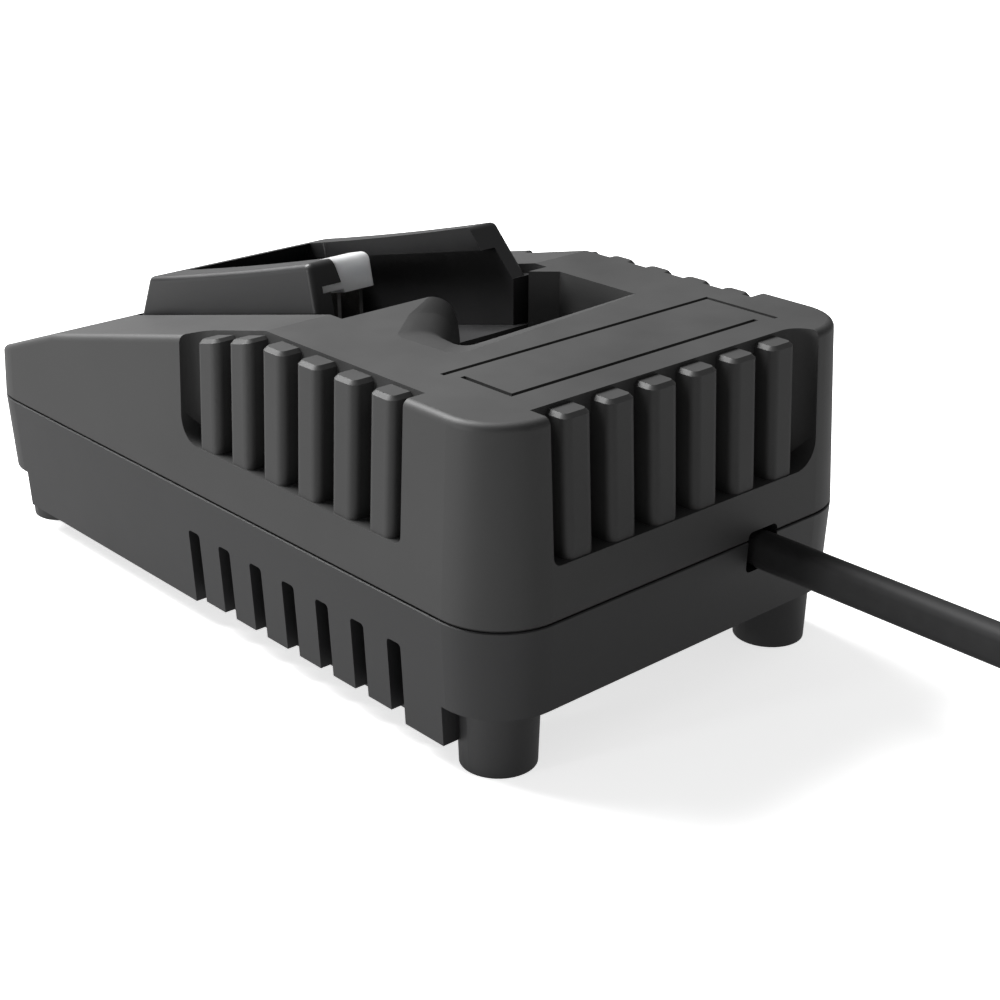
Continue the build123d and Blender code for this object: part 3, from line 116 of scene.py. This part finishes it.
# ---- moulded plastics with a fine texture, and the tie; grain is the size of that texture in mm
mouldedAbs = {
    # upper shell: dark grey, dull, with a soft sheen where the light grazes it
    "housing": {"dark": "323232", "light": "3c3c3c", "roughness": 0.57, "grain": 0.35, "bump": 0.16},
    # lower shell and feet: a shade darker than the upper one, painted shade for the dimmer light on the lower
    # sides; it also lets the parting line read
    "shadedLowerHousing": {"dark": "222223", "light": "2a2a2b", "roughness": 0.5, "grain": 0.35, "bump": 0.16},
    # rails and bay: smoother, with sharper lights on their edges; blacker partly as their own dark moulding
    # and partly as painted shade for the dark bay between the rails
    "cradle": {"dark": "1e1e1f", "light": "282829", "roughness": 0.42, "grain": 0.35, "bump": 0.12},
    # plug: black, even, a little waxy
    "plug": {"dark": "1c1c1d", "light": "262627", "roughness": 0.5, "grain": 0.35, "bump": 0.12},
    # tie round the coil: matt and coarse
    "tie": {"dark": "1a1a1b", "light": "2a2a2b", "roughness": 0.7, "grain": 0.3, "bump": 0.25},
}
absPattern = {
    "index": 1.5,
    "grain": {"Detail": 3.0, "Roughness": 0.6},
    "cloud": {"Scale": 45.0, "Detail": 4.0, "Roughness": 0.55},
    "toneEnds": (0.3, 0.72),
    "sheenFrom": (0.25, 0.75),
    "sheenSpread": (-0.05, 0.07),
    "reliefDepth": 0.05,
}


def makeMouldedAbs(name, look, pattern):
    material, tree = newMaterial(name)
    grain = objectNoise(tree, {"Scale": 1 / (look["grain"] * mm), **pattern["grain"]})
    cloud = objectNoise(tree, pattern["cloud"])
    shade = twoTone(tree, cloud, look, pattern["toneEnds"])
    low, high = pattern["sheenFrom"]
    smoother, rougher = pattern["sheenSpread"]
    sheen = addNode(tree, "ShaderNodeMapRange",
                    {"From Min": low, "From Max": high, "To Min": look["roughness"] + smoother,
                     "To Max": look["roughness"] + rougher}, {"Value": cloud.outputs["Fac"]})
    relief = bumpOf(tree, grain, look["bump"], pattern["reliefDepth"])
    finishSurface(tree, {"IOR": pattern["index"]},
                  {"Base Color": shade.outputs["Color"], "Roughness": sheen.outputs["Result"],
                   "Normal": relief.outputs["Normal"]})
    return material


# ---- plain finishes: two tones, a roughness and a faint unevenness; scale counts patches per metre
plainFinishes = {
    # indicator light pipe: pale, cloudy, light sinks 4 mm into it and softens its edges
    "milkyAcrylic": {"dark": "dcddde", "light": "e6e7e8", "roughness": 0.3, "metal": 0.0, "scale": 400,
                     "depth": 4.0},
    # lamp lens: greenish and glossy
    "clearLens": {"dark": "a8b4a8", "light": "bccabd", "roughness": 0.15, "metal": 0.0, "scale": 300},
    # screws and leads: cool grey with a satin lustre
    "zincedSteel": {"dark": "8d8e90", "light": "a5a6a8", "roughness": 0.35, "metal": 1.0, "scale": 900},
    # contact blades and plug pins: bright, slightly warm metal
    "nickelledBrass": {"dark": "a9a8a4", "light": "bcbbb7", "roughness": 0.22, "metal": 1.0, "scale": 700},
    # terminal block and cord clamp: flat black
    "blackPbt": {"dark": "161617", "light": "202021", "roughness": 0.5, "metal": 0.0, "scale": 600},
    # board: glossy green lacquer
    "solderMask": {"dark": "12452a", "light": "195a38", "roughness": 0.35, "metal": 0.0, "scale": 250},
    # cores: dull charcoal grey
    "ferrite": {"dark": "232426", "light": "303134", "roughness": 0.6, "metal": 0.0, "scale": 800},
    # transformer winding: shiny amber film
    "polyesterTape": {"dark": "b08e22", "light": "c7a436", "roughness": 0.3, "metal": 0.0, "scale": 300},
    # choke windings: reddish varnished wire
    "enamelledCopper": {"dark": "8c4a22", "light": "a95e30", "roughness": 0.3, "metal": 0.6, "scale": 900},
    # capacitor sleeves: dark blue and glossy
    "shrinkSleeve": {"dark": "141d3a", "light": "1b2750", "roughness": 0.25, "metal": 0.0, "scale": 200},
    # heat sink: pale metal with a brushed dullness
    "extrudedAluminium": {"dark": "a6a8aa", "light": "bcbec0", "roughness": 0.4, "metal": 1.0, "scale": 500},
    # chip packages: matt black
    "mouldedEpoxy": {"dark": "151516", "light": "1f1f20", "roughness": 0.55, "metal": 0.0, "scale": 900},
    # film capacitor: mustard yellow box
    "filmCapacitorCase": {"dark": "a99c3c", "light": "bcae4c", "roughness": 0.45, "metal": 0.0, "scale": 400},
    # fuse: cream white glaze
    "glazedCeramic": {"dark": "d2ccbb", "light": "e0dacb", "roughness": 0.2, "metal": 0.0, "scale": 200},
    # varistor: bright blue coat
    "dippedEnamel": {"dark": "1c4890", "light": "2358a8", "roughness": 0.3, "metal": 0.0, "scale": 300},
    # inner leads: brown and slightly shiny
    "pvcInsulation": {"dark": "4c1f14", "light": "5e291b", "roughness": 0.4, "metal": 0.0, "scale": 300},
}
plainPattern = {"detail": 3.0, "toneEnds": (0.3, 0.7), "bump": 0.08, "reliefDepth": 0.05, "inside": 0.8}


def makePlainFinish(name, look, pattern):
    material, tree = newMaterial(name)
    patches = objectNoise(tree, {"Scale": look["scale"], "Detail": pattern["detail"]})
    shade = twoTone(tree, patches, look, pattern["toneEnds"])
    relief = bumpOf(tree, patches, pattern["bump"], pattern["reliefDepth"])
    settings = {"Metallic": look["metal"], "Roughness": look["roughness"]}
    if "depth" in look:
        settings["Subsurface Weight"] = pattern["inside"]
        settings["Subsurface Radius"] = (1.0, 1.0, 1.0)
        settings["Subsurface Scale"] = look["depth"] * mm
    finishSurface(tree, settings, {"Base Color": shade.outputs["Color"], "Normal": relief.outputs["Normal"]})
    return material


# ---- soft PVC sheath of the flat cord: extruded, nearly black, even along its length and dull
cordSheath = {
    "dark": "131314", "light": "1a1a1b", "toneEnds": (0.3, 0.7), "roughness": 0.7, "index": 1.52,
    "ripple": 2.5, "detail": 2.0, "bump": 0.1, "reliefDepth": 0.08,
}


def makeCordSheath(look):
    material, tree = newMaterial("pvcSheath")
    ripple = objectNoise(tree, {"Scale": 1 / (look["ripple"] * mm), "Detail": look["detail"]})
    shade = twoTone(tree, ripple, look, look["toneEnds"])
    relief = bumpOf(tree, ripple, look["bump"], look["reliefDepth"])
    finishSurface(tree, {"Roughness": look["roughness"], "IOR": look["index"]},
                  {"Base Color": shade.outputs["Color"], "Normal": relief.outputs["Normal"]})
    return material


materials = {name: makeMouldedAbs(name + "Abs", look, absPattern) for name, look in mouldedAbs.items()}
for name, look in plainFinishes.items():
    materials[name] = makePlainFinish(name, look, plainPattern)
materials["pvcSheath"] = makeCordSheath(cordSheath)

finishOf = {
    "upper_housing": "housing", "lower_housing": "shadedLowerHousing", "battery_cradle": "cradle",
    "light_pipe": "milkyAcrylic", "indicator_led": "clearLens", "led_leads": "zincedSteel",
    "terminal_block": "blackPbt", "terminal_blades": "nickelledBrass", "terminal_screws": "zincedSteel",
    "housing_screws": "zincedSteel", "circuit_board": "solderMask", "board_screws": "zincedSteel",
    "transformer_core": "ferrite", "transformer_winding": "polyesterTape", "choke_core": "ferrite",
    "choke_windings": "enamelledCopper", "bulk_capacitor": "shrinkSleeve",
    "output_capacitors": "shrinkSleeve", "heat_sink": "extrudedAluminium",
    "power_transistor": "mouldedEpoxy", "rectifier_diode": "mouldedEpoxy",
    "bridge_rectifier": "mouldedEpoxy", "line_capacitor": "filmCapacitorCase",
    "mains_fuse": "glazedCeramic", "surge_varistor": "dippedEnamel", "optocoupler": "mouldedEpoxy",
    "control_chip": "mouldedEpoxy", "mains_wires": "pvcInsulation", "output_wires": "pvcInsulation",
    "cord_clamp": "blackPbt", "clamp_screws": "zincedSteel", "cord_inner_end": "pvcSheath",
    "power_cord": "pvcSheath", "cord_coil": "pvcSheath", "cord_tail": "pvcSheath", "cord_tie": "tie",
    "plug_body": "plug", "plug_pins": "nickelledBrass",
}

for name, finish in finishOf.items():
    slots = nodes[name].data.materials
    slots.clear()
    slots.append(materials[finish])
print("finishes given to", len(finishOf), "nodes")


# ---- mains cord: flat, two cores, level out of the case, down to the bench and into a tied coil
# all lengths in mm; turnChange is the share of a turn in which it changes over to its radius and height,
# and swingOut and sink say between which turns the last one leaves the coil and goes down to the plug
flatCord = {
    "thickness": 3.8, "width": 6.1, "length": 1500.0,
    "route": [(-16.5, 71.983, 22.65), (-16.5, 118.0, 22.65), (-16.5, 132.0, 22.65), (-16.5, 161.0, 3.05)],
    "coilCentre": (18.0, 188.0), "coilDiameter": 53.4, "touchRadius": 34.5, "pointsPerTurn": 16,
    "turnChange": 0.2, "swingOut": (7.58, 7.84), "sink": (7.8, 8.0),
    "tail": [(-16.5, 191.0, 9.3), (-16.5, 196.0, 8.6), (-16.5, 202.0, 6.85)],
    # shares of half the thickness and half the width
    "profileCorner": [(1.0, 0.45), (0.93, 0.72), (0.6, 0.94)], "waist": 0.94,
    "stepsPerPoint": 6,
}


def easedStep(value, start, end):
    t = min(max((value - start) / (end - start), 0.0), 1.0)
    return t * t * (3 - 2 * t)


def cordRoute(c):
    middle, pitch = c["coilDiameter"] / 2, c["thickness"]
    outer, inner, touch = middle + pitch, middle - pitch, c["touchRadius"]
    low, middling, high = [(layer + 0.5) * c["width"] for layer in range(3)]
    tailHeight = c["tail"][0][2]
    centreX, centreY = c["coilCentre"]
    # each turn keeps one radius and one height, and changes over in its first stretch, so the turns nest
    turns = [(outer, low), (middle, low), (inner, low), (inner, middling), (middle, middling),
             (outer, middling), (outer, high), (middle, high)]
    points = list(c["route"])
    for step in range(len(turns) * c["pointsPerTurn"]):
        turn = (step + 0.5) / c["pointsPerTurn"]
        radius, height = touch, low
        for k, (turnRadius, turnHeight) in enumerate(turns):
            share = easedStep(turn, k, k + c["turnChange"])
            radius += (turnRadius - radius) * share
            height += (turnHeight - height) * share
        radius += (touch - radius) * easedStep(turn, *c["swingOut"])
        height += (tailHeight - height) * easedStep(turn, *c["sink"])
        angle = math.pi - 2 * math.pi * turn
        reach = radius / math.cos(math.pi / c["pointsPerTurn"])
        points.append((centreX + reach * math.cos(angle), centreY + reach * math.sin(angle), height))
    return points + c["tail"]


# two round cores side by side, with a shallow waist between them
def makeCordProfile(c):
    half, tall = c["thickness"] / 2, c["width"] / 2
    corner = c["profileCorner"]
    end = corner + [(0.0, 1.0)] + [(-x, y) for x, y in reversed(corner)]
    outline = end + [(-c["waist"], 0.0)] + [(x, -y) for x, y in reversed(end)] + [(c["waist"], 0.0)]
    data = bpy.data.curves.new("cordProfile", "CURVE")
    data.dimensions = "2D"
    ring = data.splines.new("POLY")
    ring.points.add(len(outline) - 1)
    for point, (x, y) in zip(ring.points, outline):
        point.co = (x * half * mm, y * tall * mm, 0, 1)
    ring.use_cyclic_u = True
    profile = bpy.data.objects.new("cordProfile", data)
    profile.hide_render = True
    profile.hide_viewport = True
    bpy.context.scene.collection.objects.link(profile)
    return profile


def makeFlatCord(c):
    route = cordRoute(c)
    data = bpy.data.curves.new("mainsCord", "CURVE")
    data.dimensions = "3D"
    data.twist_mode = "Z_UP"
    data.bevel_mode = "OBJECT"
    data.bevel_object = makeCordProfile(c)
    data.use_fill_caps = True
    data.resolution_u = c["stepsPerPoint"]
    spline = data.splines.new("NURBS")
    spline.points.add(len(route) - 1)
    for point, place in zip(spline.points, route):
        point.co = (*(v * mm for v in place), 1)
    spline.order_u = 3
    spline.use_endpoint_u = True
    data.materials.append(materials["pvcSheath"])
    cord = bpy.data.objects.new("mainsCord", data)
    bpy.context.scene.collection.objects.link(cord)
    return cord


mainsCord = makeFlatCord(flatCord)
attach(mainsCord, "root")
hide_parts("power_cord", "cord_coil", "cord_tail")
print("mains cord laid")


# ---- studio, in metres: a low key lamp along +X, an upper one from the front, a weak sky
# the floor glows a little, so it stays pale and its shadow light; bounce is what it throws on the object
studio = {
    "floor": "f8f8f8", "floorBounce": "9a9a9a", "floorGlow": 0.7, "bounceGlow": 0.32,
    "floorSize": 8.0, "skyStrength": 0.2, "backdrop": 1.0,
    "lamps": [
        {"name": "keyLamp", "place": (2.0, -0.45, 0.17), "size": 0.25, "power": 12.0},
        {"name": "upperLamp", "place": (0.2, -0.95, 1.12), "size": 0.9, "power": 48.0},
    ],
}
white = (1, 1, 1, 1)


def glowingPaper(tree, colour, glow):
    paper = addNode(tree, "ShaderNodeBsdfDiffuse", {"Color": linearColour(colour)})
    light = addNode(tree, "ShaderNodeEmission", {"Color": white, "Strength": glow})
    both = addNode(tree, "ShaderNodeAddShader")
    tree.links.new(paper.outputs[0], both.inputs[0])
    tree.links.new(light.outputs[0], both.inputs[1])
    return both


def seenByCamera(tree, unseen, seen):
    ray = addNode(tree, "ShaderNodeLightPath")
    either = addNode(tree, "ShaderNodeMixShader")
    tree.links.new(ray.outputs["Is Camera Ray"], either.inputs[0])
    tree.links.new(unseen.outputs[0], either.inputs[1])
    tree.links.new(seen.outputs[0], either.inputs[2])
    return either


def makeFloor(s):
    mesh = bpy.data.meshes.new("floor")
    shape = bmesh.new()
    bmesh.ops.create_grid(shape, x_segments=1, y_segments=1, size=s["floorSize"] / 2)
    shape.to_mesh(mesh)
    shape.free()
    floor = bpy.data.objects.new("floor", mesh)
    bpy.context.scene.collection.objects.link(floor)
    # matt white paper that fades into the backdrop
    material, tree = newMaterial("floorPaper")
    either = seenByCamera(tree, glowingPaper(tree, s["floorBounce"], s["bounceGlow"]),
                          glowingPaper(tree, s["floor"], s["floorGlow"]))
    addNode(tree, "ShaderNodeOutputMaterial", {}, {"Surface": either.outputs[0]})
    mesh.materials.append(material)


def makeSky(s):
    world = bpy.data.worlds.new("studioSky")
    bpy.context.scene.world = world
    world.use_nodes = True
    tree = world.node_tree
    tree.nodes.clear()
    light = addNode(tree, "ShaderNodeBackground", {"Color": white, "Strength": s["skyStrength"]})
    backdrop = addNode(tree, "ShaderNodeBackground", {"Color": white, "Strength": s["backdrop"]})
    either = seenByCamera(tree, light, backdrop)
    addNode(tree, "ShaderNodeOutputWorld", {}, {"Surface": either.outputs[0]})


def makeLamps(s):
    for lamp in s["lamps"]:
        data = bpy.data.lights.new(lamp["name"], "AREA")
        data.shape = "SQUARE"
        data.size = lamp["size"]
        data.energy = lamp["power"]
        lampObject = bpy.data.objects.new(lamp["name"], data)
        lampObject.location = lamp["place"]
        lampObject.rotation_euler = (-Vector(lamp["place"])).to_track_quat("-Z", "Y").to_euler()
        bpy.context.scene.collection.objects.link(lampObject)


makeFloor(studio)
makeSky(studio)
makeLamps(studio)
bpy.context.scene.view_settings.view_transform = "Standard"
print("studio lit")
